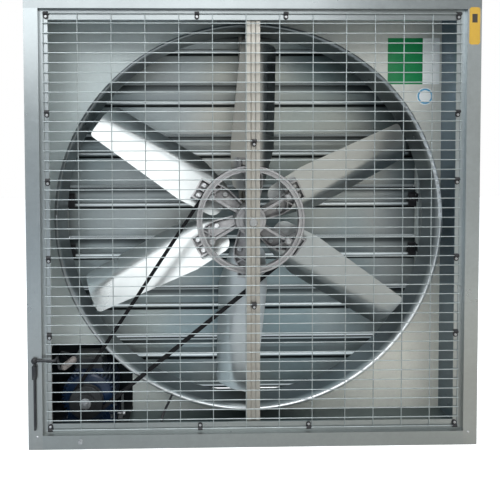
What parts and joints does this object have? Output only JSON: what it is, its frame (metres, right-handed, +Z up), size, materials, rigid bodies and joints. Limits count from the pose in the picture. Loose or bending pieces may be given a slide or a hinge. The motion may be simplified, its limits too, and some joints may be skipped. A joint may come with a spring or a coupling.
{
  "type": "belt driven box exhaust fan",
  "caption": "Square galvanised box fan for greenhouse cooling: wire guard, belt-driven propeller in a round venturi, corner motor and outward-opening louvre shutter behind.",
  "frame": {"origin": "on the underside of the box, midway across, in the plane of the front flanges", "axes": "+X to the right seen from the guard side, +Y from the guard towards the shutter, +Z up; the impeller axis runs along Y at x 0, z 0.69"},
  "size_m": [1.384, 0.4146, 1.382],
  "materials": {
    "galvanised": "zinc spangle, satin",
    "polished_steel": "polished stainless sheet",
    "zinc_wire": "galvanised wire",
    "zinc_fastener": "zinc plated",
    "aluminium_rivet": "satin",
    "machined_steel": "turned",
    "cast_aluminium": "as cast, lightly blasted",
    "belt_rubber": "matt, fabric covered",
    "black_iron": "blackened, turned faces",
    "black_paint": "semi-gloss black",
    "blue_paint": "gloss dark blue",
    "copper_coil": "varnished",
    "black_plastic": "moulded nylon",
    "cable_rubber": "satin sheath",
    "label_film": "blank printed film"
  },
  "bodies": {
    "root": {"axle": "machined_steel", "axle_nuts": "zinc_fastener", "bearing_inner_rings": "machined_steel", "blank_labels": "label_film", "bottom_panel": "galvanised", "cable_fittings": "black_plastic", "clip_screws": "zinc_fastener", "drive_belt": "belt_rubber", "fan_cowl": "blue_paint", "frame_bolts": "zinc_fastener", "front_column": "galvanised", "guard_clips": "black_plastic", "guard_mesh": "zinc_wire", "left_panel": "galvanised", "motor_bearings": "machined_steel", "motor_bracket": "black_paint", "motor_end_shields": "blue_paint", "motor_housing": "blue_paint", "orifice_plate": "galvanised", "panel_rivets": "aluminium_rivet", "pivot_bushes": "black_plastic", "power_cables": "cable_rubber", "rear_column": "galvanised", "right_panel": "galvanised", "shutter_rails": "galvanised", "stator_core": "copper_coil", "tensioner_bracket": "galvanised", "terminal_box": "black_paint", "top_panel": "galvanised", "venturi_ring": "galvanised"},
    "impeller": {"hub_casting": "cast_aluminium", "fan_pulley": "cast_aluminium", "blade_bolts": "zinc_fastener", "bearing_outer_sets": "machined_steel", "blade_1": "polished_steel", "blade_2": "polished_steel", "blade_3": "polished_steel", "blade_4": "polished_steel", "blade_5": "polished_steel", "blade_6": "polished_steel"},
    "motor_rotor": {"motor_shaft": "machined_steel", "rotor_core": "machined_steel", "motor_pulley": "black_iron", "pulley_screw": "zinc_fastener", "cooling_fan": "black_plastic"},
    "louvre_1": {"louvre_1": "galvanised", "louvre_1_brackets": "black_plastic"},
    "louvre_2": {"louvre_2": "galvanised", "louvre_2_brackets": "black_plastic"},
    "louvre_3": {"louvre_3": "galvanised", "louvre_3_brackets": "black_plastic"},
    "louvre_4": {"louvre_4": "galvanised", "louvre_4_brackets": "black_plastic"},
    "louvre_5": {"louvre_5": "galvanised", "louvre_5_brackets": "black_plastic"},
    "louvre_6": {"louvre_6": "galvanised", "louvre_6_brackets": "black_plastic"},
    "louvre_7": {"louvre_7": "galvanised", "louvre_7_brackets": "black_plastic"},
    "tie_rods": {"tie_rods": "zinc_wire"}
  },
  "joints": [
    {"name": "impeller_spin", "type": "hinge", "parent": "root", "child": "impeller", "pos_m": [0, 0.15, 0.69], "axis": [0, -1, 0], "continuous": true},
    {"name": "rotor_spin", "type": "hinge", "parent": "root", "child": "motor_rotor", "pos_m": [-0.535, 0.2, 0.1], "axis": [0, -1, 0], "continuous": true},
    {"name": "louvre_4_hinge", "type": "hinge", "parent": "root", "child": "louvre_4", "pos_m": [0, 0.383, 0.737], "axis": [1, 0, 0], "range_deg": [0, 82]},
    {"name": "louvre_1_hinge", "type": "hinge", "parent": "root", "child": "louvre_1", "pos_m": [0, 0.383, 0.167], "axis": [1, 0, 0], "range_deg": [0, 82]},
    {"name": "louvre_2_hinge", "type": "hinge", "parent": "root", "child": "louvre_2", "pos_m": [0, 0.383, 0.357], "axis": [1, 0, 0], "range_deg": [0, 82]},
    {"name": "louvre_3_hinge", "type": "hinge", "parent": "root", "child": "louvre_3", "pos_m": [0, 0.383, 0.547], "axis": [1, 0, 0], "range_deg": [0, 82]},
    {"name": "louvre_5_hinge", "type": "hinge", "parent": "root", "child": "louvre_5", "pos_m": [0, 0.383, 0.927], "axis": [1, 0, 0], "range_deg": [0, 82]},
    {"name": "louvre_6_hinge", "type": "hinge", "parent": "root", "child": "louvre_6", "pos_m": [0, 0.383, 1.117], "axis": [1, 0, 0], "range_deg": [0, 82]},
    {"name": "louvre_7_hinge", "type": "hinge", "parent": "root", "child": "louvre_7", "pos_m": [0, 0.383, 1.307], "axis": [1, 0, 0], "range_deg": [0, 82]},
    {"name": "tie_rod_swing", "type": "hinge", "parent": "louvre_4", "child": "tie_rods", "pos_m": [0, 0.35842, 0.75421], "axis": [1, 0, 0], "range_deg": [-82, 0]}
  ],
  "couplings": [
    {"joint": "rotor_spin", "follows": "impeller_spin", "ratio": 3.396},
    {"joint": "louvre_1_hinge", "follows": "louvre_4_hinge", "ratio": 1},
    {"joint": "louvre_2_hinge", "follows": "louvre_4_hinge", "ratio": 1},
    {"joint": "louvre_3_hinge", "follows": "louvre_4_hinge", "ratio": 1},
    {"joint": "louvre_5_hinge", "follows": "louvre_4_hinge", "ratio": 1},
    {"joint": "louvre_6_hinge", "follows": "louvre_4_hinge", "ratio": 1},
    {"joint": "louvre_7_hinge", "follows": "louvre_4_hinge", "ratio": 1},
    {"joint": "tie_rod_swing", "follows": "louvre_4_hinge", "ratio": -1}
  ]
}
